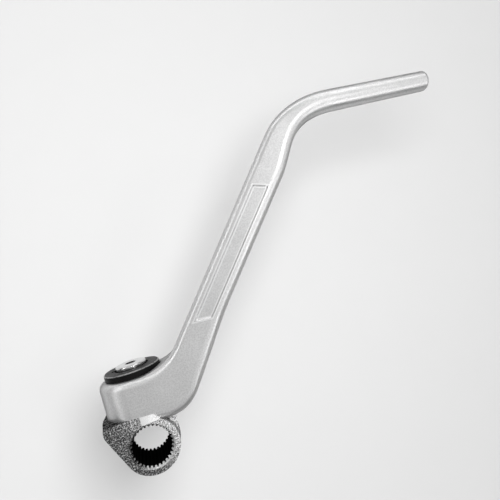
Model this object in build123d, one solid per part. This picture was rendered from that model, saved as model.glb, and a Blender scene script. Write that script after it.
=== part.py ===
from build123d import *
import os
from math import acos, cos, degrees, pi, radians, sin, sqrt, tan

# Kick start lever: a forged arm that folds on the post of a cast, splined boss.
# Frame: origin at the middle of the splined bore, +Z along the bore towards the engine,
# +Y up the pivot axis, +X towards the foot bar. Millimetres and degrees.

# Splined bore and hub
SPLINE_TEETH = 32
SPLINE_TIP_RADIUS = 9.3
SPLINE_ROOT_RADIUS = 10.3
TOOTH_TIP_WIDTH = 0.7
SPACE_FLOOR_WIDTH = 0.65
MOUTH_CHAMFER = 0.5
HUB_LENGTH = 24.0
HUB_FACE_RADIUS = 13.5
CAST_DRAFT = 5.0
CAST_EDGE_ROUND = 1.2

# Ear, neck and collar under the arm's eye
SEAT_HEIGHT = 15.6
EAR_REACH = 20.7
EAR_ROUND = 7.5
EAR_HEIGHT = 12.6
NECK_REACH = 14.6
NECK_ROUND = 2.5
NECK_HEIGHT = 11.0
NECK_DEPTH = 15.0
COLLAR_RADIUS = 16.3
COLLAR_THICKNESS = 4.2
COLLAR_STEP_X = -2.0

# Pivot post, washer, screw and seals
PIVOT_INSET = 3.0
POST_RADIUS = 9.0
POST_EDGE = 0.6
TURNING_CLEARANCE = 0.05
END_PLAY = 0.1
SEAL_WIRE = 1.6
SEAL_CLEARANCE = 0.05
SEAL_FROM_END = 4.0
WASHER_RADIUS = 14.0
WASHER_THICKNESS = 3.4
WASHER_EDGE = 0.6
WASHER_RECESS_RADIUS = 8.6
WASHER_RECESS_DEPTH = 1.5
WASHER_NOTCH_WIDTH = 2.4
WASHER_NOTCH_REACH = 10.0
SCREW_RADIUS = 4.0
SCREW_LENGTH = 16.0
SCREW_CLEARANCE = 0.05
SCREW_HEAD_RADIUS = 7.7
SCREW_HEAD_HEIGHT = 3.4
SCREW_HEAD_EDGE = 0.9
SCREW_SOCKET_WIDTH = 5.0
SCREW_SOCKET_DEPTH = 3.2
TAPPED_HOLE_SPARE = 2.0

# Detent that holds the arm folded or swung out
BALL_RADIUS = 3.0
BALL_CLEARANCE = 0.05
BALL_ORBIT = 12.5
BALL_TRAVEL = 1.0
BALL_HOLE_DEPTH = 9.4
DIMPLE_CLEARANCE = 0.15
SPRING_WIRE = 0.7
SPRING_RADIUS = 2.1
SPRING_COILS = 3.0
SPRING_CLEARANCE = 0.05
SWING_ANGLE = 90.0

# Arm, drawn flat and then turned on its post to stand a little towards the engine
REST_SWING = 15.0
EYE_REACH = 17.7
EYE_HALF_DEPTH = 16.5
EYE_HEIGHT = 17.8
EYE_TOP_ROUND = 3.6
SPOT_FACE_MARGIN = 0.6
ARM_ANGLE = 50.9
ARM_WIDTH = 15.5
ARM_THICKNESS = 13.0
ARM_FRONT = 15.0
ARM_UPPER_ROUND = 3.2
ARM_LOWER_ROUND = 4.4
LOWER_CORNER_X = 21.8
ROOT_START_X = 5.0
ROOT_LENGTH = 50.0
ROOT_STEPS = 12
ROOT_DEPTH_SHARE = 0.75
HEEL_X = 25.6
HEEL_DROP = 4.2
HEEL_ROUND = 18.0
HEEL_EDGE = 3.4
HEEL_STEP_X = 11.5
HEEL_CLEARANCE = 0.4
INNER_BEND_RADIUS = 27.0
INNER_BEND_SHARE = 0.98
LOWER_RAIL_LEAD = 0.55
UPPER_BEND_RADIUS = 38.5
BEND_LEAD = 15.0
BEND_STEPS = 11
BEND_WAIST = 2.6
BAR_RISE = 112.9
BAR_SWEEP = 15.0
BAR_REACH = 74.9
BAR_ROOT_DIAMETER = 10.7
BAR_TIP_DIAMETER = 10.0
BAR_TIP_ROUND = 1.8
BAR_FLAT = 0.1

# Recessed panel on the arm's front
PANEL_LENGTH = 69.3
PANEL_WIDTH = 7.3
PANEL_DEPTH = 0.7
PANEL_WALL_SLOPE = 45.0
PANEL_LOWER_SLANT = 36.5
PANEL_UPPER_SLANT = 21.0
PANEL_MIDDLE = 69.6
PANEL_CORNER = 1.2

# Places worked out from the driving dimensions
EYE_BOTTOM = SEAT_HEIGHT + END_PLAY
EYE_TOP = EYE_BOTTOM + EYE_HEIGHT
HEEL_BOTTOM = EYE_BOTTOM - HEEL_DROP
EYE_MIDDLE = EYE_BOTTOM + EYE_HEIGHT / 2
POST_TOP = EYE_TOP + END_PLAY
WASHER_TOP = POST_TOP + WASHER_THICKNESS
HEAD_SEAT = WASHER_TOP - WASHER_RECESS_DEPTH
HUB_HALF = HUB_LENGTH / 2
DRAFT_GAIN = tan(radians(CAST_DRAFT))
HUB_MID_RADIUS = HUB_FACE_RADIUS + HUB_HALF * DRAFT_GAIN
BALL_CENTRE = SEAT_HEIGHT - BALL_RADIUS
ARM_DIRECTION = Vector(cos(radians(ARM_ANGLE)), sin(radians(ARM_ANGLE)), 0)
ARM_LEFT = Vector(-sin(radians(ARM_ANGLE)), cos(radians(ARM_ANGLE)), 0)
BAR_DIRECTION = Vector(cos(radians(BAR_SWEEP)), 0, -sin(radians(BAR_SWEEP)))
FRONT_Z = ARM_FRONT - PIVOT_INSET
ARM_MIDDLE_Z = FRONT_Z - ARM_THICKNESS / 2
LOWER_CORNER = Vector(LOWER_CORNER_X, EYE_MIDDLE, ARM_MIDDLE_Z)
UPPER_CORNER = LOWER_CORNER + ARM_DIRECTION * (BAR_RISE / sin(radians(ARM_ANGLE)))
UPPER_BEND_ANGLE = ARM_DIRECTION.get_angle(BAR_DIRECTION)
UPPER_TANGENT = UPPER_BEND_RADIUS * tan(radians(UPPER_BEND_ANGLE / 2))
STRAIGHT_START = LOWER_CORNER + ARM_DIRECTION * ROOT_LENGTH
STRAIGHT_END = UPPER_CORNER - ARM_DIRECTION * UPPER_TANGENT
NARROWING_START = STRAIGHT_END - ARM_DIRECTION * BEND_LEAD
BAR_START = UPPER_CORNER + BAR_DIRECTION * UPPER_TANGENT
PIVOT_AXIS = Axis((0, 0, -PIVOT_INSET), (0, 1, 0))
SEAM = 1e-6


def pivot_plane(height, out=0.0):
    """Plane across the pivot axis at a height, or `out` to the right of that axis."""
    return Plane(origin=(out, height, -PIVOT_INSET), x_dir=(1, 0, 0), z_dir=(0, 1, 0))


def turned(radius, bottom, top, out=0.0):
    """Cylinder parallel to the pivot axis, between two heights."""
    return extrude(pivot_plane(bottom, out) * Circle(radius), top - bottom)


def spline_bore():
    """The splined hole and the lead-in cone at each mouth, as one solid to cut away."""
    space_mouth = 2 * pi * SPLINE_TIP_RADIUS / SPLINE_TEETH - TOOTH_TIP_WIDTH
    space_root = SPLINE_TIP_RADIUS - SPACE_FLOOR_WIDTH
    space = Polygon(
        (space_root, -space_mouth / 2),
        (SPLINE_TIP_RADIUS, -space_mouth / 2),
        (SPLINE_ROOT_RADIUS, -SPACE_FLOOR_WIDTH / 2),
        (SPLINE_ROOT_RADIUS, SPACE_FLOOR_WIDTH / 2),
        (SPLINE_TIP_RADIUS, space_mouth / 2),
        (space_root, space_mouth / 2),
        align=None,
    )
    outline = Circle(SPLINE_TIP_RADIUS) + PolarLocations(0, SPLINE_TEETH) * space
    hole = extrude(outline, HUB_HALF, both=True)
    mouth_radius = SPLINE_ROOT_RADIUS + MOUTH_CHAMFER
    cone_depth = mouth_radius - SPLINE_TIP_RADIUS
    lead_in = Cone(SPLINE_TIP_RADIUS, mouth_radius, cone_depth)
    front = Pos(0, 0, HUB_HALF - cone_depth / 2) * lead_in
    return hole + front + mirror(front, about=Plane.XY)


def belt_outline(radius, other_radius, other_centre):
    """Outline of a belt round a circle at the origin and another circle."""
    way = Vector(*other_centre)
    ahead = way.normalized()
    opening = degrees(acos((radius - other_radius) / way.length))
    left, right = [ahead.rotate(Axis.Z, turn) for turn in (opening, -opening)]
    outline = Curve() + [
        Line(left * radius, way + left * other_radius),
        ThreePointArc(way + left * other_radius, way + ahead * other_radius, way + right * other_radius),
        Line(way + right * other_radius, right * radius),
        ThreePointArc(right * radius, ahead * -radius, left * radius),
    ]
    return make_face(outline)


def casting():
    """Drafted boss body: hub, ear on the left and a shallower neck on the right."""
    outline = belt_outline(HUB_MID_RADIUS, EAR_ROUND, (EAR_ROUND - EAR_REACH, EAR_HEIGHT))
    half = extrude(outline, HUB_HALF, taper=CAST_DRAFT)
    half = fillet(half.faces().sort_by(Axis.Z)[-1].edges(), CAST_EDGE_ROUND)
    neck = belt_outline(HUB_FACE_RADIUS, NECK_ROUND, (NECK_REACH - NECK_ROUND, NECK_HEIGHT - NECK_ROUND))
    half += extrude(neck, NECK_DEPTH / 2)
    above = Pos(0, SEAT_HEIGHT + EAR_ROUND, 0) * Box(4 * EAR_REACH, 2 * EAR_ROUND, 2 * HUB_LENGTH)
    return half + mirror(half, about=Plane.XY) - above


def collar():
    """Turned seat for the arm, cut flush with the ear on the left of the front."""
    disc = turned(COLLAR_RADIUS, SEAT_HEIGHT - COLLAR_THICKNESS, SEAT_HEIGHT)
    flush = Box(
        2 * COLLAR_RADIUS, 2 * SEAT_HEIGHT, 2 * COLLAR_RADIUS, align=(Align.MAX, Align.MIN, Align.MIN)
    )
    return disc - Pos(COLLAR_STEP_X, 0, HUB_HALF) * flush


def seal_heights():
    """Heights of the two seals on the post, lower one first."""
    return EYE_BOTTOM + SEAL_FROM_END, EYE_TOP - SEAL_FROM_END


def pivot_post():
    """Post that the arm turns on, with two seal grooves and a broken top edge."""
    post = turned(POST_RADIUS, SEAT_HEIGHT - COLLAR_THICKNESS, POST_TOP)
    post = chamfer(post.edges().sort_by(Axis.Y)[-1], POST_EDGE)
    groove_width = SEAL_WIRE + 4 * SEAL_CLEARANCE
    for height in seal_heights():
        bottom = height - groove_width / 2
        ring = turned(2 * POST_RADIUS, bottom, bottom + groove_width)
        core = turned(POST_RADIUS - SEAL_WIRE - SEAL_CLEARANCE, bottom, bottom + groove_width)
        post -= ring - core
    return post


def spline_boss():
    """Cast boss with its splined bore, collar, post, tapped hole and detent hole."""
    tapped_bottom = HEAD_SEAT - SCREW_LENGTH - TAPPED_HOLE_SPARE
    boss = casting() + collar() + pivot_post()
    boss -= spline_bore()
    boss -= turned(SCREW_RADIUS + SCREW_CLEARANCE, tapped_bottom, POST_TOP)
    boss -= turned(
        BALL_RADIUS + BALL_CLEARANCE, SEAT_HEIGHT - BALL_HOLE_DEPTH, SEAT_HEIGHT, -BALL_ORBIT
    )
    return boss


def pivot_seal(height):
    """O-ring in one of the post's grooves."""
    ring_radius = POST_RADIUS - SEAL_WIRE / 2
    return pivot_plane(height) * Torus(ring_radius, SEAL_WIRE / 2)


def pivot_washer():
    """Round washer with a recess and a notch for the screw's head."""
    washer = turned(WASHER_RADIUS, POST_TOP, WASHER_TOP)
    washer = chamfer(washer.edges().sort_by(Axis.Y)[-1], WASHER_EDGE)
    washer -= turned(WASHER_RECESS_RADIUS, HEAD_SEAT, WASHER_TOP)
    notch = Rectangle(WASHER_NOTCH_REACH, WASHER_NOTCH_WIDTH, align=(Align.MAX, Align.CENTER))
    washer -= extrude(pivot_plane(HEAD_SEAT) * notch, WASHER_RECESS_DEPTH)
    return washer - turned(SCREW_RADIUS + SCREW_CLEARANCE, POST_TOP, HEAD_SEAT)


def pivot_screw():
    """Low-headed screw with a hexagon socket, its head seated in the washer's recess."""
    head_top = HEAD_SEAT + SCREW_HEAD_HEIGHT
    head = turned(SCREW_HEAD_RADIUS, HEAD_SEAT, head_top)
    head = fillet(head.edges().sort_by(Axis.Y)[-1], SCREW_HEAD_EDGE)
    screw = head + turned(SCREW_RADIUS, HEAD_SEAT - SCREW_LENGTH, HEAD_SEAT)
    socket = RegularPolygon(SCREW_SOCKET_WIDTH / 2, 6, major_radius=False)
    return screw - extrude(pivot_plane(head_top) * socket, -SCREW_SOCKET_DEPTH)


def detent_ball():
    """Ball pressed back level with the boss's seat."""
    return pivot_plane(BALL_CENTRE, -BALL_ORBIT) * Sphere(BALL_RADIUS)


def detent_spring():
    """Coil spring between the floor of the detent hole and the ball."""
    reach = BALL_RADIUS + SPRING_WIRE / 2 + SPRING_CLEARANCE
    top = BALL_CENTRE - sqrt(reach**2 - SPRING_RADIUS**2)
    bottom = SEAT_HEIGHT - BALL_HOLE_DEPTH + SPRING_WIRE / 2 + SPRING_CLEARANCE
    coil = Helix((top - bottom) / SPRING_COILS, top - bottom, SPRING_RADIUS)
    wire = Plane(origin=coil @ 0, z_dir=coil % 0) * Circle(SPRING_WIRE / 2)
    return pivot_plane(bottom, -BALL_ORBIT) * sweep(wire, coil, is_frenet=True)


def arm_section(centre, ahead, width, depth, upper_round, lower_round, rise=0.0):
    """Cross-section of the arm, square to the way it runs and `rise` above its line."""
    plane = Plane(origin=centre, x_dir=(0, 0, -1), z_dir=ahead)
    outline = Pos(0, rise) * Rectangle(depth, width)
    outline = fillet(outline.vertices().group_by(Axis.Y)[-1], upper_round)
    outline = fillet(outline.vertices().group_by(Axis.Y)[0], lower_round)
    return plane * outline


def ease(share):
    """Smooth step from 0 to 1."""
    return share * share * (3 - 2 * share)


def between(first, last, share):
    """Value a share of the way from one size to another."""
    return first + (last - first) * share


def root_rails():
    """Lower and upper outline of the bend from the eye to the straight, seen from the front."""
    side = ARM_LEFT * (ARM_WIDTH / 2)
    flat_end = Vector(STRAIGHT_START.X, STRAIGHT_START.Y, 0)
    top_rise = (EYE_HEIGHT / 2 - side.Y) / ARM_DIRECTION.Y
    inner_corner = Vector(LOWER_CORNER_X, EYE_MIDDLE, 0) + side + ARM_DIRECTION * top_rise
    room = INNER_BEND_SHARE * (inner_corner.X - ROOT_START_X)
    inner_bend = min(INNER_BEND_RADIUS, room / tan(radians(ARM_ANGLE / 2)))
    upper = FilletPolyline((ROOT_START_X, EYE_TOP), inner_corner, flat_end + side, radius=inner_bend)
    heel = Vector(HEEL_X, HEEL_BOTTOM, 0)
    outer_way = flat_end - side - heel
    past_heel = heel + outer_way.normalized() * HEEL_ROUND
    underside = FilletPolyline((ROOT_START_X, HEEL_BOTTOM), heel, past_heel, radius=HEEL_ROUND)
    outer_side = Spline(past_heel, flat_end - side, tangents=(outer_way, ARM_DIRECTION))
    return Wire([*underside.edges(), outer_side]), upper


def arm_root():
    """Lower bend: the eye's deep section narrows to the arm's own, between two outlines."""
    lower, upper = root_rails()
    sections = []
    for step in range(ROOT_STEPS + 1):
        along = step / ROOT_STEPS
        share = ease(min(along / ROOT_DEPTH_SHARE, 1))
        below = lower @ (along + LOWER_RAIL_LEAD * along * (1 - along))
        across = upper @ along - below
        depth = between(2 * EYE_HALF_DEPTH, ARM_THICKNESS, share)
        front = between(EYE_HALF_DEPTH, ARM_FRONT, share) - PIVOT_INSET
        sections.append(
            arm_section(
                below + across / 2 + Vector(0, 0, front - depth / 2),
                Vector(across.Y, -across.X, 0),
                across.length,
                depth,
                between(EYE_TOP_ROUND, ARM_UPPER_ROUND, share),
                between(HEEL_EDGE, ARM_LOWER_ROUND, share),
            )
        )
    return loft(sections)


def arm_straight():
    """Flat middle of the arm."""
    section = arm_section(
        STRAIGHT_START, ARM_DIRECTION, ARM_WIDTH, ARM_THICKNESS, ARM_UPPER_ROUND, ARM_LOWER_ROUND
    )
    return extrude(section, (NARROWING_START - STRAIGHT_START).length, dir=ARM_DIRECTION)


def bar_section(centre, diameter):
    """Section of the foot bar, square to it: a circle drawn as four arcs."""
    corner = diameter / 2 - BAR_FLAT
    return arm_section(centre, BAR_DIRECTION, diameter, diameter, corner, corner)


def arm_upper_bend():
    """Narrowing and upper bend: the arm's flat section turns into the round of the foot bar."""
    inward = (BAR_DIRECTION - ARM_DIRECTION * ARM_DIRECTION.dot(BAR_DIRECTION)).normalized()
    round_corner = BAR_ROOT_DIAMETER / 2 - BAR_FLAT
    arc = UPPER_BEND_RADIUS * radians(UPPER_BEND_ANGLE)
    sections = []
    for step in range(BEND_STEPS + 1):
        path = step / BEND_STEPS
        run = between(-BEND_LEAD, arc, path)
        turn = max(run, 0.0) / UPPER_BEND_RADIUS
        share = ease(max(run, 0.0) / arc)
        waist = BEND_WAIST * sin(pi * path) ** 2
        way = ARM_DIRECTION * sin(turn) + inward * (1 - cos(turn))
        sections.append(
            arm_section(
                STRAIGHT_END + ARM_DIRECTION * min(run, 0.0) + way * UPPER_BEND_RADIUS,
                ARM_DIRECTION * cos(turn) + inward * sin(turn),
                between(ARM_WIDTH, BAR_ROOT_DIAMETER, share) - waist,
                between(ARM_THICKNESS, BAR_ROOT_DIAMETER, share),
                between(ARM_UPPER_ROUND, round_corner, share),
                between(ARM_LOWER_ROUND, round_corner, share),
                waist / 2,
            )
        )
    return loft(sections)


def foot_bar():
    """Round bar that tapers a little to its rounded tip."""
    tip = UPPER_CORNER + BAR_DIRECTION * BAR_REACH
    bar = loft([bar_section(BAR_START, BAR_ROOT_DIAMETER), bar_section(tip, BAR_TIP_DIAMETER)])
    return fillet(bar.faces().sort_by(Axis((0, 0, 0), BAR_DIRECTION))[-1].edges(), BAR_TIP_ROUND)


def eye():
    """Pivot eye: a deep slab with a round end, flat at the front and back."""
    round_end = Pos(EYE_HALF_DEPTH - EYE_REACH, 0) * Circle(EYE_HALF_DEPTH)
    slab = Rectangle(
        ROOT_START_X - EYE_HALF_DEPTH + EYE_REACH, 2 * EYE_HALF_DEPTH, align=(Align.MAX, Align.CENTER)
    )
    plan = Pos(ROOT_START_X, 0) * slab
    left_of_end = Rectangle(4 * EYE_REACH, 4 * EYE_REACH, align=(Align.MAX, Align.CENTER))
    plan = (plan + round_end) & Pos(ROOT_START_X, 0) * left_of_end
    body = extrude(pivot_plane(HEEL_BOTTOM) * plan, EYE_TOP - HEEL_BOTTOM)
    rim = body.faces().sort_by(Axis.Y)[-1].edges().sort_by(Axis.X)[:-1]
    body = fillet(rim, EYE_TOP_ROUND)
    foot = body.faces().sort_by(Axis.Y)[0].edges().sort_by(Axis.X)[:-1]
    return fillet(foot, HEEL_EDGE)


def panel():
    """Shallow recess with slanted ends and sloping walls in the arm's front, as a solid to cut away."""
    half_length, half_width = PANEL_LENGTH / 2, PANEL_WIDTH / 2
    lower_slip = half_width * tan(radians(PANEL_LOWER_SLANT))
    upper_slip = half_width * tan(radians(PANEL_UPPER_SLANT))
    outline = Polygon(
        (-half_length - lower_slip, half_width),
        (-half_length + lower_slip, -half_width),
        (half_length + upper_slip, -half_width),
        (half_length - upper_slip, half_width),
        align=None,
    )
    outline = fillet(outline.vertices(), PANEL_CORNER)
    place = LOWER_CORNER + ARM_DIRECTION * PANEL_MIDDLE
    plane = Plane(origin=(place.X, place.Y, FRONT_Z), x_dir=ARM_DIRECTION, z_dir=(0, 0, 1))
    recess = extrude(plane * outline, -PANEL_DEPTH, taper=PANEL_WALL_SLOPE)
    return recess + extrude(plane * outline, PANEL_DEPTH)


def detent_dimple(turn):
    """Hollow for the raised ball in the eye's underside, where it lies after a swing of `turn`."""
    centre = Vector(-BALL_ORBIT, 0, 0).rotate(Axis.Y, -turn)
    place = Pos(centre.X, BALL_CENTRE + BALL_TRAVEL, centre.Z - PIVOT_INSET)
    return place * Sphere(BALL_RADIUS + DIMPLE_CLEARANCE)


def without_ends(stretch, planes):
    """Faces of one stretch of the arm, less its flat ends on the planes where it meets the next."""
    kept = []
    for face in stretch.faces():
        on_plane = [abs((face.center() - plane.origin).dot(plane.z_dir)) < SEAM for plane in planes]
        square = [abs(face.normal_at().dot(plane.z_dir)) > 1 - SEAM for plane in planes]
        if not any(near and flat for near, flat in zip(on_plane, square)):
            kept.append(face)
    return kept


def forging():
    """Arm from the eye to the tip, sewn from stretches that share their end sections."""
    seams = [
        Plane(origin=(ROOT_START_X, EYE_MIDDLE, 0), z_dir=(1, 0, 0)),
        Plane(origin=STRAIGHT_START, z_dir=ARM_DIRECTION),
        Plane(origin=NARROWING_START, z_dir=ARM_DIRECTION),
        Plane(origin=BAR_START, z_dir=BAR_DIRECTION),
    ]
    stretches = [eye(), arm_root(), arm_straight(), arm_upper_bend(), foot_bar()]
    faces = []
    for index, stretch in enumerate(stretches):
        faces += without_ends(stretch, seams[max(index - 1, 0) : index + 1])
    return Solid(Shell(faces))


def seat_relief():
    """Metal milled off the eye's underside so that only the heel reaches below the boss's seat."""
    left = Box(4 * EYE_REACH, 2 * HEEL_DROP, 4 * EYE_REACH, align=(Align.MAX, Align.MAX, Align.CENTER))
    seat = turned(COLLAR_RADIUS + HEEL_CLEARANCE, EYE_BOTTOM - 2 * HEEL_DROP, EYE_BOTTOM)
    return seat + Pos(HEEL_STEP_X, EYE_BOTTOM, -PIVOT_INSET) * left


def kick_arm():
    """The one-piece forged arm, from the pivot eye to the foot bar, as it stands at rest."""
    arm = Part() + forging() - panel() - seat_relief()
    arm = arm.rotate(PIVOT_AXIS, -REST_SWING)
    arm -= turned(POST_RADIUS + TURNING_CLEARANCE, EYE_BOTTOM - END_PLAY, EYE_TOP + END_PLAY)
    arm -= turned(WASHER_RADIUS + SPOT_FACE_MARGIN, EYE_TOP, WASHER_TOP)
    for turn in (0, SWING_ANGLE):
        arm -= detent_dimple(turn)
    return arm


lower_seal_height, upper_seal_height = seal_heights()
pieces = {
    "kick_arm": kick_arm(),
    "spline_boss": spline_boss(),
    "pivot_washer": pivot_washer(),
    "pivot_screw": pivot_screw(),
    "lower_pivot_seal": pivot_seal(lower_seal_height),
    "upper_pivot_seal": pivot_seal(upper_seal_height),
    "detent_ball": detent_ball(),
    "detent_spring": detent_spring(),
}
os.makedirs("parts", exist_ok=True)
for node, shape in pieces.items():
    export_step(shape, f"parts/{node}.step")
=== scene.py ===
"""Dresses a folding kick start lever: forged arm, splined cast boss, pivot stack and detent."""

import logging
from dataclasses import dataclass, field
from enum import Enum
from math import cos, radians, sin, tan, tau
from typing import Tuple

import bpy
from mathutils import Matrix, Vector


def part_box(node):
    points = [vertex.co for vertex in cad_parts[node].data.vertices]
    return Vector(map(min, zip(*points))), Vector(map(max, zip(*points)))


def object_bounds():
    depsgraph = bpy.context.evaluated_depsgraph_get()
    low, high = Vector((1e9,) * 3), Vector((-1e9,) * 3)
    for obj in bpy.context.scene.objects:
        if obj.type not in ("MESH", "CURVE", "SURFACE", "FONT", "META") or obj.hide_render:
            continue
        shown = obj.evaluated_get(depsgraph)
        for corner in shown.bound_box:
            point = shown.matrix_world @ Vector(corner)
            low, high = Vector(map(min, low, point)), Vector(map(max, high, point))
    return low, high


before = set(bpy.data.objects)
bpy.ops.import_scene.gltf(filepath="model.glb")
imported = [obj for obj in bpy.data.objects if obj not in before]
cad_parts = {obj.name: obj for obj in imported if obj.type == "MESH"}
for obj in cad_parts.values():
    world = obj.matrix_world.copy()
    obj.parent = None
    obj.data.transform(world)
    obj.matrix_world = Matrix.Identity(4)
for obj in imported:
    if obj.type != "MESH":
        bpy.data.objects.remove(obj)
CAD_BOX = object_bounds()

LOG = logging.getLogger("kick_lever")
MM = 0.001
FACE_SLACK = 0.05 * MM  # room for rounding where a face is picked by its place
NOISE_MIDDLE = (0.3, 0.7)  # range that most of a noise lies in

Colour = Tuple[float, float, float, float]
Point = Tuple[float, float, float]
Span = Tuple[float, float]


def grey(level: float) -> Colour:
    """Opaque neutral colour of one linear level."""
    return (level, level, level, 1.0)


class Axis3(Enum):
    """Axes of the lever that a turned face is measured round."""

    SHAFT = "shaft"
    PIVOT = "pivot"


@dataclass(frozen=True)
class LeverFrame:
    """Places that several finishes measure from, in metres.

    Attributes:
        pivot_inset: How far the pivot axis lies behind the middle of the bore.
        seat_height: Height of the boss's seat for the arm above the bore's axis.
        rest_swing: Angle in degrees that the arm stands out at rest.
        arm_front: Distance of the arm's flat front from the pivot axis.
        arm_angle: Angle in degrees that the arm rises from the pivot to the bend.
        arm_corner: Where the arm's line starts, beside the pivot and above the bore's axis.
    """

    pivot_inset: float = 3.0 * MM
    seat_height: float = 15.6 * MM
    rest_swing: float = 15.0
    arm_front: float = 15.0 * MM
    arm_angle: float = 50.9
    arm_corner: Span = (21.8 * MM, 24.6 * MM)

    def out_of_front(self) -> Tuple[Point, float]:
        """Way square to the arm's front, and the front's place along it."""
        swing = radians(self.rest_swing)
        return (-sin(swing), 0.0, cos(swing)), self.arm_front - self.pivot_inset * cos(swing)

    def along_arm(self) -> Tuple[Point, float]:
        """Measure along the arm.

        Returns:
            Way along the arm, and the place along it where the arm's line starts.
        """
        swing, angle = radians(self.rest_swing), radians(self.arm_angle)
        way = (cos(angle) * cos(swing), sin(angle), cos(angle) * sin(swing))
        beside, above = self.arm_corner
        inset = cos(angle) * sin(swing) * self.pivot_inset
        return way, cos(angle) * beside + sin(angle) * above - inset

    def across_arm(self) -> Tuple[Point, float]:
        """Measure across the arm.

        Returns:
            Way across the arm's width, and the middle's place along it.
        """
        swing, angle = radians(self.rest_swing), radians(self.arm_angle)
        way = (-sin(angle) * cos(swing), cos(angle), -sin(angle) * sin(swing))
        beside, above = self.arm_corner
        inset = sin(angle) * sin(swing) * self.pivot_inset
        return way, inset - sin(angle) * beside + cos(angle) * above


LEVER = LeverFrame()


class NodePad:
    """Small builder for one material's nodes, with the shader already placed."""

    def __init__(self, name: str) -> None:
        """Start a material with a Principled shader.

        Args:
            name: Name of the material.
        """
        self.material = bpy.data.materials.new(name)
        self.material.use_nodes = True
        self.tree = self.material.node_tree
        self.shader = self.tree.nodes["Principled BSDF"]
        self.place = self.tree.nodes.new("ShaderNodeTexCoord").outputs["Object"]

    def link(self, source: bpy.types.NodeSocket, target: bpy.types.NodeSocket) -> None:
        """Join two sockets."""
        self.tree.links.new(source, target)

    def feed(self, node: bpy.types.Node, slot: int, value: object) -> None:
        """Give one input of a node a number or another node's output.

        Args:
            node: Node that takes the value.
            slot: Index of the input.
            value: Number or output socket.
        """
        if isinstance(value, bpy.types.NodeSocket):
            self.link(value, node.inputs[slot])
        else:
            node.inputs[slot].default_value = value

    def math(self, operation: str, first: object, second: object = 0.0) -> bpy.types.NodeSocket:
        """Add a Math node.

        Args:
            operation: Name of the operation.
            first: First number or socket.
            second: Second number or socket.

        Returns:
            The node's output.
        """
        node = self.tree.nodes.new("ShaderNodeMath")
        node.operation = operation
        self.feed(node, 0, first)
        self.feed(node, 1, second)
        return node.outputs[0]

    def noise(self, scale: float, detail: float, roughness: float = 0.5) -> bpy.types.NodeSocket:
        """Add a noise texture in the lever's own coordinates.

        Args:
            scale: Features to a metre.
            detail: Octaves.
            roughness: Share that each finer octave keeps.

        Returns:
            The noise, about 0 to 1.
        """
        node = self.tree.nodes.new("ShaderNodeTexNoise")
        self.link(self.place, node.inputs["Vector"])
        node.inputs["Scale"].default_value = scale
        node.inputs["Detail"].default_value = detail
        node.inputs["Roughness"].default_value = roughness
        return node.outputs["Fac"]

    def span(self, value: bpy.types.NodeSocket, low: float, high: float,
             out_low: float = 0.0, out_high: float = 1.0) -> bpy.types.NodeSocket:
        """Stretch a value from one range to another, clamped and smooth.

        Args:
            value: Socket to stretch.
            low: Value that gives out_low.
            high: Value that gives out_high.
            out_low: Result at and below low.
            out_high: Result at and above high.

        Returns:
            The stretched value.
        """
        node = self.tree.nodes.new("ShaderNodeMapRange")
        node.interpolation_type = "SMOOTHSTEP"
        self.link(value, node.inputs["Value"])
        node.inputs["From Min"].default_value = low
        node.inputs["From Max"].default_value = high
        node.inputs["To Min"].default_value = out_low
        node.inputs["To Max"].default_value = out_high
        return node.outputs["Result"]

    def shade(self, factor: bpy.types.NodeSocket, first: object,
              second: object) -> bpy.types.NodeSocket:
        """Mix two colours.

        Args:
            factor: Share of the second colour.
            first: Colour or socket at 0.
            second: Colour or socket at 1.

        Returns:
            The mixed colour.
        """
        node = self.tree.nodes.new("ShaderNodeMix")
        node.data_type = "RGBA"
        self.link(factor, node.inputs["Factor"])
        for name, value in (("A", first), ("B", second)):
            socket = [item for item in node.inputs if item.name == name and item.type == "RGBA"][0]
            if isinstance(value, bpy.types.NodeSocket):
                self.link(value, socket)
            else:
                socket.default_value = value
        return [item for item in node.outputs if item.type == "RGBA"][0]

    def parts(self) -> Tuple[bpy.types.NodeSocket, bpy.types.NodeSocket, bpy.types.NodeSocket]:
        """Split the place into coordinates.

        Returns:
            Along the foot bar, up the pivot and out along the shaft, in metres.
        """
        node = self.tree.nodes.new("ShaderNodeSeparateXYZ")
        self.link(self.place, node.inputs[0])
        return node.outputs[0], node.outputs[1], node.outputs[2]

    def distance(self, way: Point, start: float) -> bpy.types.NodeSocket:
        """Distance along a direction.

        Args:
            way: Direction to measure along.
            start: Place along it that counts as 0, in metres.

        Returns:
            The distance in metres.
        """
        node = self.tree.nodes.new("ShaderNodeVectorMath")
        node.operation = "DOT_PRODUCT"
        self.link(self.place, node.inputs[0])
        node.inputs[1].default_value = way
        return self.math("SUBTRACT", node.outputs["Value"], start)

    def radius(self, axis: Axis3) -> bpy.types.NodeSocket:
        """Distance from the shaft's or the pivot's axis.

        Args:
            axis: Axis to measure from.

        Returns:
            The distance in metres.
        """
        along, up, out = self.parts()
        if axis is Axis3.SHAFT:
            first, second = along, up
        else:
            first, second = along, self.math("ADD", out, LEVER.pivot_inset)
        squares = self.math("ADD", self.math("POWER", first, 2.0), self.math("POWER", second, 2.0))
        return self.math("SQRT", squares)

    def bump(self, height: bpy.types.NodeSocket, distance: float, strength: float) -> None:
        """Give the shader a bump from a height.

        Args:
            height: Height, about 0 to 1.
            distance: Height of 1 in metres.
            strength: Share of the bump that shows.
        """
        node = self.tree.nodes.new("ShaderNodeBump")
        node.inputs["Distance"].default_value = distance
        node.inputs["Strength"].default_value = strength
        self.link(height, node.inputs["Height"])
        self.link(node.outputs["Normal"], self.shader.inputs["Normal"])


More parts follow.
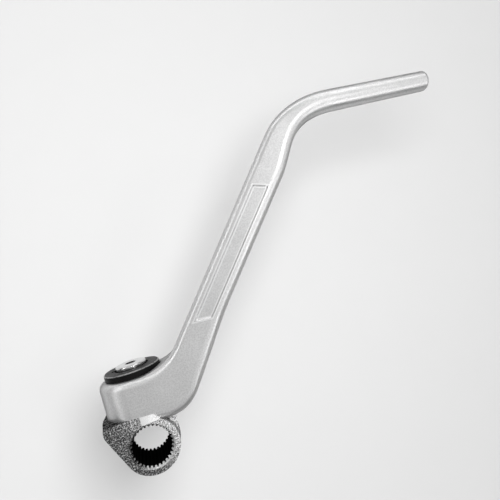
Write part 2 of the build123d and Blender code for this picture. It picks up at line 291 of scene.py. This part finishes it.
@dataclass(frozen=True)
class BlastedAlloy:
    """Fine bead-blasted aluminium with a faint cloudiness and a painted highlight along the
    panel's edges.

    Attributes:
        light: Level of the pale patches.
        dark: Level of the dull patches.
        panel_highlight: Level of the painted highlight along the panel's edges.
        rim: Share of the light that is left where the surface turns away.
        grain_per_metre: Blast marks to a metre.
        grain_depth: Depth of the blast marks in metres.
        grain_strength: Share of their bump that shows.
        fleck_share: Share of the blast marks in the colour; the rest is cloudiness.
        cloud_per_metre: Cloudy patches to a metre.
        roughness: Lowest and highest roughness.
        panel_depth: Depth of the panel, and how far its wall runs in, in metres.
        panel_half: Half the panel's width and half its length in metres.
        panel_middle: Distance of the panel's middle from the start of the arm's line, in metres.
        panel_slants: Angles in degrees that the lower and upper ends lean.
        highlight_width: Width of the painted highlight line along each edge of the wall in metres.
    """

    light: float = 0.88
    dark: float = 0.64
    panel_highlight: float = 0.98
    rim: float = 0.12
    grain_per_metre: float = 1500.0
    grain_depth: float = 0.10 * MM
    grain_strength: float = 0.5
    fleck_share: float = 0.6
    cloud_per_metre: float = 60.0
    roughness: Span = (0.35, 0.42)
    panel_depth: float = 0.7 * MM
    panel_half: Span = (3.65 * MM, 34.65 * MM)
    panel_middle: float = 69.6 * MM
    panel_slants: Span = (36.5, 21.0)
    highlight_width: float = 0.55 * MM

    def material(self) -> bpy.types.Material:
        """Build the finish.

        Returns:
            The material.
        """
        pad = NodePad("blasted_alloy")
        grain = pad.noise(self.grain_per_metre, detail=3.0, roughness=0.6)
        cloud = pad.noise(self.cloud_per_metre, detail=4.0)
        fleck = pad.span(grain, *NOISE_MIDDLE)
        blend = pad.math("ADD", pad.math("MULTIPLY", fleck, self.fleck_share),
                         pad.math("MULTIPLY", cloud, 1.0 - self.fleck_share))
        blasted = pad.shade(blend, grey(self.dark), grey(self.light))
        # painted highlight: pale lines along the panel's wall stand in for its edges catching the
        # light
        edge = self.panel_highlight_share(pad)
        pad.link(pad.shade(edge, blasted, grey(self.panel_highlight)), pad.shader.inputs["Base Color"])
        pad.link(pad.span(cloud, *NOISE_MIDDLE, *self.roughness), pad.shader.inputs["Roughness"])
        pad.shader.inputs["Metallic"].default_value = 1.0
        pad.shader.inputs["Specular Tint"].default_value = grey(self.rim)
        pad.bump(grain, self.grain_depth, self.grain_strength)
        return pad.material

    def panel_highlight_share(self, pad: NodePad) -> bpy.types.NodeSocket:
        """Share of painted highlight on the two bright lines that follow the panel's wall.

        Args:
            pad: Nodes of the material.

        Returns:
            1 on the lines and 0 elsewhere.
        """
        across = pad.distance(*LEVER.across_arm())
        way, start = LEVER.along_arm()
        along = pad.distance(way, start + self.panel_middle)
        half_width, half_length = self.panel_half
        outside = pad.math("SUBTRACT", pad.math("ABSOLUTE", across), half_width)
        for side, slant in zip((-1.0, 1.0), self.panel_slants):
            lean = pad.math("MULTIPLY", across, tan(radians(slant)))
            end = pad.math("MULTIPLY", pad.math("ADD", along, lean), side)
            beyond = pad.math("MULTIPLY", pad.math("SUBTRACT", end, half_length),
                              cos(radians(slant)))
            outside = pad.math("MAXIMUM", outside, beyond)
        middle = pad.math("ADD", outside, self.panel_depth / 2)
        off_wall = pad.math("SUBTRACT", pad.math("ABSOLUTE", middle), self.panel_depth / 2)
        # these lines are a painted highlight, not cut metal
        line = pad.math("MULTIPLY", pad.math("GREATER_THAN", off_wall, 0.0),
                        pad.math("LESS_THAN", off_wall, self.highlight_width))
        behind_panel = -2.0 * self.panel_depth
        front = pad.math("GREATER_THAN", pad.distance(*LEVER.out_of_front()), behind_panel)
        return pad.math("MULTIPLY", line, front)


@dataclass(frozen=True)
class CastSteel:
    """Rough plated casting, bright where it is machined, with a painted highlight on one side and
    painted shade in the bore.

    Attributes:
        skin_dark: Level of the pits in the cast skin.
        skin_light: Level of the high spots in the cast skin.
        painted_lit_level: Level of the high spots on the side that is painted brighter, a painted
            highlight for the light falling on that side.
        machined: Level of the turned faces.
        bore_shade: Level of the painted shade on the splines' flanks.
        rim: Share of the light that is left where the surface turns away.
        collar_radius: Radius of the turned collar in metres.
        collar_bottom: Height of the collar's lower edge in metres.
        bore_radius: Radius of the bore over its roots in metres.
        hub_half: Half the length of the hub in metres.
        chamfer_depth: Depth of the lead-in cone in metres.
        cone_lit_share: Share of turned metal on the lead-in cones' right side; towards the left it
            fades into cast skin as painted shade.
        painted_lit_way: Way, square to the shaft, that the side with the painted highlight lies
            in.
        painted_lit_from: Distance that way where the painted highlight starts, in metres.
        painted_lit_full: Distance that way where the painted highlight is brightest, in metres.
        painted_lit_lift: How far the painted highlight lifts the skin out of its pits.
        pits_per_metre: Pits to a metre.
        pit_depth: Depth of the pits in metres.
        pit_strength: Share of their bump that shows.
        pit_edges: Heights between which the skin goes from dark to light.
        blotches_per_metre: Blotches to a metre.
        blotch_share: Share of the blotches in the skin; the rest is pits.
        pit_middle: Heights that count as pit and as high spot for the roughness.
        skin_roughness: Roughness in the pits and on the high spots.
        turned_polish: How much smoother the turned faces are.
        mouth_margin: How far the lead-in cone runs outside the bore, in metres.
    """

    skin_dark: float = 0.05
    skin_light: float = 0.70
    painted_lit_level: float = 0.97
    machined: float = 0.95
    bore_shade: float = 0.004
    rim: float = 0.05
    collar_radius: float = 16.3 * MM
    collar_bottom: float = 11.4 * MM
    bore_radius: float = 10.3 * MM
    hub_half: float = 12.0 * MM
    chamfer_depth: float = 1.4 * MM
    cone_lit_share: float = 0.5
    painted_lit_way: Point = (0.88, 0.47, 0.0)
    painted_lit_from: float = -8.5 * MM
    painted_lit_full: float = 12.0 * MM
    painted_lit_lift: float = 0.11
    pits_per_metre: float = 1500.0
    pit_depth: float = 0.3 * MM
    pit_strength: float = 0.8
    pit_edges: Span = (0.44, 0.74)
    blotches_per_metre: float = 420.0
    blotch_share: float = 0.15
    pit_middle: Span = (0.35, 0.65)
    skin_roughness: Span = (0.52, 0.30)
    turned_polish: float = 0.14
    mouth_margin: float = 0.55 * MM

    def material(self) -> bpy.types.Material:
        """Build the finish.

        Returns:
            The material.
        """
        pad = NodePad("cast_steel")
        blotch = pad.noise(self.blotches_per_metre, detail=2.0)
        fine = pad.noise(self.pits_per_metre, detail=2.0, roughness=0.6)
        pit = pad.math("ADD", pad.math("MULTIPLY", fine, 1.0 - self.blotch_share),
                       pad.math("MULTIPLY", blotch, self.blotch_share))
        # painted highlight: the skin grows paler towards one side, standing in for light falling
        # on that side
        painted_lit = pad.span(pad.distance(self.painted_lit_way, 0.0), self.painted_lit_from, self.painted_lit_full)
        proud = pad.math("ADD", pit, pad.math("MULTIPLY", painted_lit, self.painted_lit_lift))
        high = pad.shade(painted_lit, grey(self.skin_light), grey(self.painted_lit_level))
        skin = pad.shade(pad.span(proud, *self.pit_edges), grey(self.skin_dark), high)
        turned = self.turned_faces(pad)
        bore = self.bore_shade_share(pad)
        colour = pad.shade(turned, skin, grey(self.machined))
        # painted shade: the splined bore is painted near black as a dull non-metal, standing in
        # for the shade inside it
        colour = pad.shade(bore, colour, grey(self.bore_shade))
        pad.link(colour, pad.shader.inputs["Base Color"])
        rough_skin = pad.span(pit, *self.pit_middle, *self.skin_roughness)
        polish = pad.math("MULTIPLY", turned, self.turned_polish)
        pad.link(pad.math("SUBTRACT", rough_skin, polish), pad.shader.inputs["Roughness"])
        pad.shader.inputs["Specular Tint"].default_value = grey(self.rim)
        open_metal = pad.math("SUBTRACT", 1.0, bore)
        pad.link(open_metal, pad.shader.inputs["Metallic"])
        pad.shader.inputs["Specular IOR Level"].default_value = 0.0
        smooth = pad.math("MAXIMUM", turned, bore)
        height = pad.math("MULTIPLY", pit, pad.math("SUBTRACT", 1.0, smooth))
        pad.bump(height, self.pit_depth, self.pit_strength)
        return pad.material

    def turned_faces(self, pad: NodePad) -> bpy.types.NodeSocket:
        """Share of bare turned metal: collar, seat, post and the bore's lead-in cones, the cones
        with painted shade on their left side.

        Args:
            pad: Nodes of the material.

        Returns:
            1 on turned faces and 0 on the cast skin.
        """
        along, up, out = pad.parts()
        round_pivot = pad.radius(Axis3.PIVOT)
        near = pad.math("LESS_THAN", round_pivot, self.collar_radius + FACE_SLACK)
        rim = pad.math("GREATER_THAN", round_pivot, self.collar_radius - FACE_SLACK)
        above = pad.math("GREATER_THAN", up, self.collar_bottom)
        collar = pad.math("MULTIPLY", pad.math("MULTIPLY", near, rim), above)
        raised = pad.math("GREATER_THAN", up, LEVER.seat_height - FACE_SLACK)
        seat = pad.math("MULTIPLY", near, raised)
        mouth_radius = self.bore_radius + self.mouth_margin
        mouth = pad.math("LESS_THAN", pad.radius(Axis3.SHAFT), mouth_radius)
        cone_start = self.hub_half - self.chamfer_depth
        cone = pad.math("GREATER_THAN", pad.math("ABSOLUTE", out), cone_start)
        # painted shade: the turned cones fade out towards the left, standing in for shade on that
        # side
        cone_lit_half = pad.span(along, -self.bore_radius, 0.0, 0.0, self.cone_lit_share)
        lead_in = pad.math("MULTIPLY", pad.math("MULTIPLY", mouth, cone), cone_lit_half)
        return pad.math("MAXIMUM", pad.math("MAXIMUM", collar, seat), lead_in)

    def bore_shade_share(self, pad: NodePad) -> bpy.types.NodeSocket:
        """Share of painted shade on the wall inside the splined bore.

        Args:
            pad: Nodes of the material.

        Returns:
            1 on the splines and 0 elsewhere.
        """
        _, _, out = pad.parts()
        inside = pad.math("LESS_THAN", pad.radius(Axis3.SHAFT), self.bore_radius + FACE_SLACK)
        cone_start = self.hub_half - self.chamfer_depth
        deep = pad.math("LESS_THAN", pad.math("ABSOLUTE", out), cone_start)
        return pad.math("MULTIPLY", inside, deep)


@dataclass(frozen=True)
class BlackWasher:
    """Satin black oxide, worn to bare metal along the top chamfer.

    Attributes:
        black: Level of the oxide.
        bare: Level of the worn edge.
        edge_radius: Radius where the chamfer starts in metres.
        edge_height: Height where the chamfer starts in metres.
        edge_fade: Distance over which the worn edge starts, in metres.
        marks_per_metre: Handling marks to a metre.
        mark_depth: Depth of the marks in metres.
        mark_strength: Share of their bump that shows.
        mark_tint: Shares of the oxide's level in its dark and its pale marks.
        worn_marks: Marks between which the edge goes from black to worn.
        worn_metal: Share of metal on the worn edge.
        roughness: Lowest and highest roughness.
        gloss: Specular level of the oxide.
    """

    black: float = 0.007
    bare: float = 0.35
    edge_radius: float = 13.45 * MM
    edge_height: float = 36.3 * MM
    edge_fade: float = 0.1 * MM
    marks_per_metre: float = 900.0
    mark_depth: float = 0.03 * MM
    mark_strength: float = 0.25
    mark_tint: Span = (0.7, 1.6)
    worn_marks: Span = (0.2, 0.6)
    worn_metal: float = 0.8
    roughness: Span = (0.34, 0.46)
    gloss: float = 0.07

    def material(self) -> bpy.types.Material:
        """Build the finish.

        Returns:
            The material.
        """
        pad = NodePad("black_washer")
        _, up, _ = pad.parts()
        mark = pad.noise(self.marks_per_metre, detail=3.0)
        edge_end = self.edge_radius + self.edge_fade
        outer = pad.span(pad.radius(Axis3.PIVOT), self.edge_radius, edge_end)
        high = pad.span(up, self.edge_height, self.edge_height + self.edge_fade)
        worn = pad.math("MULTIPLY", pad.math("MULTIPLY", outer, high),
                        pad.span(mark, *self.worn_marks))
        oxide = pad.shade(mark, *(grey(self.black * share) for share in self.mark_tint))
        pad.link(pad.shade(worn, oxide, grey(self.bare)), pad.shader.inputs["Base Color"])
        pad.link(pad.span(mark, *NOISE_MIDDLE, *self.roughness), pad.shader.inputs["Roughness"])
        pad.link(pad.math("MULTIPLY", worn, self.worn_metal), pad.shader.inputs["Metallic"])
        pad.shader.inputs["Specular IOR Level"].default_value = self.gloss
        pad.bump(mark, self.mark_depth, self.mark_strength)
        return pad.material


@dataclass(frozen=True)
class TurnedPlate:
    """Plated or polished steel with fine turning rings round the pivot.

    Attributes:
        name: Name of the material.
        level: Level of the metal.
        roughness: Roughness between the rings.
        rings_per_metre: Turning rings to a metre of radius.
        ring_share: Height of the rings beside the smears.
        ring_depth: Depth of the rings and smears in metres.
        ring_strength: Share of their bump that shows.
        ring_middle: Range that most of the rings and smears lie in.
        ring_polish: Shares of the roughness in their lows and highs.
        smears_per_metre: Smears to a metre.
        smear_tint: Shares of the level in the dull and the bright smears.
    """

    name: str
    level: float
    roughness: float
    rings_per_metre: float = 2600.0
    ring_share: float = 0.18
    ring_depth: float = 0.02 * MM
    ring_strength: float = 0.3
    ring_middle: Span = (0.2, 0.8)
    ring_polish: Span = (0.8, 1.25)
    smears_per_metre: float = 500.0
    smear_tint: Span = (0.86, 1.1)

    def material(self) -> bpy.types.Material:
        """Build the finish.

        Returns:
            The material.
        """
        pad = NodePad(self.name)
        turns = pad.math("MULTIPLY", pad.radius(Axis3.PIVOT), self.rings_per_metre * tau)
        wave = pad.math("SINE", turns)
        smear = pad.noise(self.smears_per_metre, detail=3.0)
        rings = pad.math("ADD", pad.math("MULTIPLY", wave, self.ring_share), smear)
        dull, bright = (grey(self.level * share) for share in self.smear_tint)
        pad.link(pad.shade(smear, dull, bright), pad.shader.inputs["Base Color"])
        smooth, rough = (self.roughness * share for share in self.ring_polish)
        pad.link(pad.span(rings, *self.ring_middle, smooth, rough),
                 pad.shader.inputs["Roughness"])
        pad.shader.inputs["Metallic"].default_value = 1.0
        pad.bump(rings, self.ring_depth, self.ring_strength)
        return pad.material


@dataclass(frozen=True)
class SealRubber:
    """Matte black rubber with a greasy patchiness.

    Attributes:
        level: Level of the rubber.
        smears_per_metre: Greasy smears to a metre.
        smear_depth: Depth of the smears in metres.
        smear_strength: Share of their bump that shows.
        smear_tint: Shares of the level in the dry and the greasy smears.
        roughness: Lowest and highest roughness.
    """

    level: float = 0.02
    smears_per_metre: float = 700.0
    smear_depth: float = 0.03 * MM
    smear_strength: float = 0.3
    smear_tint: Span = (0.7, 1.5)
    roughness: Span = (0.45, 0.7)

    def material(self) -> bpy.types.Material:
        """Build the finish.

        Returns:
            The material.
        """
        pad = NodePad("seal_rubber")
        smear = pad.noise(self.smears_per_metre, detail=2.0)
        dry, greasy = (grey(self.level * share) for share in self.smear_tint)
        pad.link(pad.shade(smear, dry, greasy), pad.shader.inputs["Base Color"])
        pad.link(pad.span(smear, *NOISE_MIDDLE, *self.roughness), pad.shader.inputs["Roughness"])
        pad.bump(smear, self.smear_depth, self.smear_strength)
        return pad.material


def dress(node: str, material: bpy.types.Material) -> None:
    """Put one material on a node of the frame.

    Args:
        node: Name of the node.
        material: Finish that the node gets.
    """
    piece = bpy.data.objects[node]
    for slot in piece.material_slots:
        slot.material = material
    low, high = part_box(node)
    size = [round((top - bottom) / MM, 1) for bottom, top in zip(low, high)]
    LOG.info("%s: %s, %s mm", node, material.name, size)


@dataclass
class ForgedArm:
    """One-piece arm from the pivot eye to the foot bar.

    Attributes:
        finish: Finish of the arm.
    """

    finish: BlastedAlloy = field(default_factory=BlastedAlloy)

    def build(self) -> None:
        """Dress the arm."""
        dress("kick_arm", self.finish.material())


@dataclass
class SplinedBoss:
    """Cast boss with the splined bore, the collar and the post.

    Attributes:
        finish: Finish of the boss.
    """

    finish: CastSteel = field(default_factory=CastSteel)

    def build(self) -> None:
        """Dress the boss."""
        dress("spline_boss", self.finish.material())


@dataclass
class PivotStack:
    """Washer, screw and seals that hold the arm on its post.

    Attributes:
        washer: Finish of the washer.
        screw: Finish of the screw.
        seal: Finish of both seals.
    """

    washer: BlackWasher = field(default_factory=BlackWasher)
    screw: TurnedPlate = TurnedPlate("bright_screw", 0.66, 0.20)
    seal: SealRubber = field(default_factory=SealRubber)

    def build(self) -> None:
        """Dress the washer, the screw and both seals."""
        dress("pivot_washer", self.washer.material())
        dress("pivot_screw", self.screw.material())
        rubber = self.seal.material()
        for node in ("lower_pivot_seal", "upper_pivot_seal"):
            dress(node, rubber)


@dataclass
class Detent:
    """Sprung ball that holds the arm folded or swung out.

    Attributes:
        ball: Finish of the ball.
        wire: Finish of the spring.
    """

    ball: TurnedPlate = TurnedPlate("ball_steel", 0.7, 0.12)
    wire: TurnedPlate = TurnedPlate("spring_steel", 0.5, 0.32)

    def build(self) -> None:
        """Dress the ball and its spring."""
        dress("detent_ball", self.ball.material())
        dress("detent_spring", self.wire.material())


@dataclass(frozen=True)
class SoftBox:
    """One rectangular studio lamp aimed at the lever.

    Attributes:
        name: Name of the lamp.
        place: Where it hangs, in metres.
        aim: Point it faces, in metres.
        width: Width in metres.
        depth: Depth in metres.
        power: Power in watts.
    """

    name: str
    place: Point
    aim: Point
    width: float
    depth: float
    power: float

    def build(self) -> None:
        """Hang the lamp."""
        data = bpy.data.lights.new(self.name, "AREA")
        data.shape = "RECTANGLE"
        data.size = self.width
        data.size_y = self.depth
        data.energy = self.power
        lamp = bpy.data.objects.new(self.name, data)
        way = Vector(self.aim) - Vector(self.place)
        turn = way.to_track_quat("-Z", "Y").to_matrix().to_4x4()
        lamp.matrix_world = Matrix.Translation(self.place) @ turn
        bpy.context.scene.collection.objects.link(lamp)


@dataclass(frozen=True)
class ShadowBall:
    """Round lamp beside the camera that lights the floor alone.

    Attributes:
        place: Where it hangs, in metres.
        radius: Radius of the ball in metres.
        power: Power in watts.
    """

    place: Point = (44.0 * MM, 109.5 * MM, 238.0 * MM)
    radius: float = 38.0 * MM
    power: float = 29.0

    def build(self, floor: bpy.types.Object) -> None:
        """Hang the ball and turn it on the floor alone.

        Args:
            floor: Floor that takes the light and the lever's shadow.
        """
        data = bpy.data.lights.new("shadow_ball", "POINT")
        data.shadow_soft_size = self.radius
        data.energy = self.power
        data.use_nodes = True
        nodes, links = data.node_tree.nodes, data.node_tree.links
        even = nodes.new("ShaderNodeLightFalloff")
        even.inputs["Strength"].default_value = 1.0
        links.new(even.outputs["Constant"], nodes["Emission"].inputs["Strength"])
        ball = bpy.data.objects.new("shadow_ball", data)
        ball.location = self.place
        ball.visible_camera = False
        bpy.context.scene.collection.objects.link(ball)
        lit = bpy.data.collections.new("floor_alone")
        lit.objects.link(floor)
        ball.light_linking.receiver_collection = lit


@dataclass
class Studio:
    """Pale floor, soft lamps and a plain grey room.

    Attributes:
        floor_level: Level of the floor's paper.
        floor_grain: Share by which the paper's level wavers.
        floor_roughness: Roughness of the paper.
        floor_gloss: Specular level of the paper.
        fibres_per_metre: Patches in the paper to a metre.
        floor_half: Half the floor's side in metres.
        floor_gap: Room between the floor and the arm swung fully down, in metres.
        pale_side: Way that the pale side of the room lies in.
        room_dim: Level of the room's dim side.
        room_pale: Level of the room's pale side.
        room_turn: Shares of the pale side where the room stops being dim and is fully pale.
        boxes: Lamps of the studio.
        shadow_ball: Lamp that throws the lever's soft shadow on the floor.
    """

    floor_level: float = 0.54
    floor_grain: float = 0.01
    floor_roughness: float = 0.8
    floor_gloss: float = 0.2
    fibres_per_metre: float = 30.0
    floor_half: float = 12.0
    floor_gap: float = 2.0 * MM
    pale_side: Point = (0.30, 0.10, 0.95)
    room_dim: float = 0.15
    room_pale: float = 0.78
    room_turn: Span = (0.25, 0.85)
    boxes: Tuple[SoftBox, ...] = (
        SoftBox("key_box", (0.46, 0.08, 1.20), (0.08, 0.07, 0.0), 0.34, 0.20, 1.3),
        SoftBox("ceiling_box", (0.14, 0.24, 1.35), (0.12, 0.10, 0.0), 0.12, 0.06, 0.6),
        SoftBox("window_box", (-0.05, 1.00, 0.28), (0.06, 0.06, 0.0), 1.90, 0.26, 3.2),
        SoftBox("upper_right_box", (0.76, 0.90, 0.62), (0.12, 0.12, 0.0), 0.44, 0.22, 0.7),
        SoftBox("lower_right_box", (0.66, -0.54, 0.62), (0.12, 0.10, 0.0), 0.40, 0.28, 0.9),
        SoftBox("right_box", (1.05, -0.14, 0.32), (0.05, 0.05, 0.0), 0.60, 0.36, 0.4),
        SoftBox("left_box", (-0.90, -0.16, 0.38), (0.0, 0.03, 0.0), 0.50, 0.38, 0.6),
        SoftBox("low_left_box", (-0.58, -0.70, 0.06), (0.08, 0.08, 0.02), 0.50, 0.24, 1.6),
        SoftBox("upper_left_box", (-0.80, 0.42, 0.50), (0.04, 0.06, 0.0), 0.60, 0.25, 1.3),
    )
    shadow_ball: ShadowBall = ShadowBall()

    def build(self) -> None:
        """Lay the floor, hang the lamps and paint the room."""
        self.shadow_ball.build(self.floor())
        for box in self.boxes:
            box.build()
        self.room()
        bpy.context.scene.view_settings.view_transform = "Standard"

    def floor(self) -> bpy.types.Object:
        """Lay the floor as low as the arm reaches when it is swung fully down.

        Returns:
            The floor.
        """
        level = -(CAD_BOX[1][0] + LEVER.pivot_inset + self.floor_gap)
        half = self.floor_half
        corners = [(along * half, up * half, level)
                   for along, up in ((-1, -1), (1, -1), (1, 1), (-1, 1))]
        mesh = bpy.data.meshes.new("paper_floor")
        mesh.from_pydata(corners, [], [(0, 1, 2, 3)])
        floor = bpy.data.objects.new("paper_floor", mesh)
        bpy.context.scene.collection.objects.link(floor)
        pad = NodePad("white_paper")
        paper = pad.noise(self.fibres_per_metre, detail=3.0)
        waver = self.floor_level * self.floor_grain
        pad.link(pad.shade(paper, grey(self.floor_level - waver), grey(self.floor_level + waver)),
                 pad.shader.inputs["Base Color"])
        pad.shader.inputs["Roughness"].default_value = self.floor_roughness
        pad.shader.inputs["Specular IOR Level"].default_value = self.floor_gloss
        mesh.materials.append(pad.material)
        return floor

    def room(self) -> None:
        """Paint the room grey, dim low on one side and pale high on the other."""
        world = bpy.data.worlds.new("plain_room")
        world.use_nodes = True
        nodes, links = world.node_tree.nodes, world.node_tree.links
        side = nodes.new("ShaderNodeVectorMath")
        side.operation = "DOT_PRODUCT"
        links.new(nodes.new("ShaderNodeTexCoord").outputs["Generated"], side.inputs[0])
        side.inputs[1].default_value = self.pale_side
        level = nodes.new("ShaderNodeMapRange")
        level.interpolation_type = "SMOOTHSTEP"
        level.inputs["From Min"].default_value = self.room_turn[0]
        level.inputs["From Max"].default_value = self.room_turn[1]
        level.inputs["To Min"].default_value = self.room_dim
        level.inputs["To Max"].default_value = self.room_pale
        links.new(side.outputs["Value"], level.inputs["Value"])
        ground = nodes["Background"]
        ground.inputs["Color"].default_value = grey(1.0)
        links.new(level.outputs["Result"], ground.inputs["Strength"])
        bpy.context.scene.world = world


@dataclass
class PhotoCamera:
    """Camera at the photograph's viewing angle, fitted to the washer, eye and bore.

    Attributes:
        place: Where it stands, in metres.
        forward: Way it looks.
        right: Way that is right in the picture.
        focal: Focal length in pixels of a picture 500 wide.
        picture: Width of the picture in pixels.
        sensor: Width of the sensor in millimetres.
        near: Distance where the camera starts to see, in metres.
    """

    place: Point = (16.0 * MM, 81.3 * MM, 231.2 * MM)
    forward: Point = (0.2503, -0.0184, -0.9680)
    right: Point = (0.9299, -0.2737, 0.2457)
    focal: float = 440.0
    picture: float = 500.0
    sensor: float = 36.0
    near: float = 1.0 * MM

    def build(self) -> None:
        """Set up the camera and make it the scene's."""
        ahead = Vector(self.forward).normalized()
        up = Vector(self.right).cross(ahead).normalized()
        side = ahead.cross(up)
        turn = Matrix((side, up, -ahead)).transposed().to_4x4()
        data = bpy.data.cameras.new("photo_camera")
        data.sensor_width = self.sensor
        data.lens = self.sensor * self.focal / self.picture
        data.clip_start = self.near
        camera = bpy.data.objects.new("photo_camera", data)
        camera.matrix_world = Matrix.Translation(self.place) @ turn
        bpy.context.scene.collection.objects.link(camera)
        bpy.context.scene.camera = camera


def main() -> None:
    """Build the camera, the studio and each sub-assembly in order."""
    logging.basicConfig(level=logging.INFO, format="%(name)s: %(message)s")
    PhotoCamera().build()
    Studio().build()
    for assembly in (ForgedArm(), SplinedBoss(), PivotStack(), Detent()):
        assembly.build()


if __name__ == "__main__":
    main()
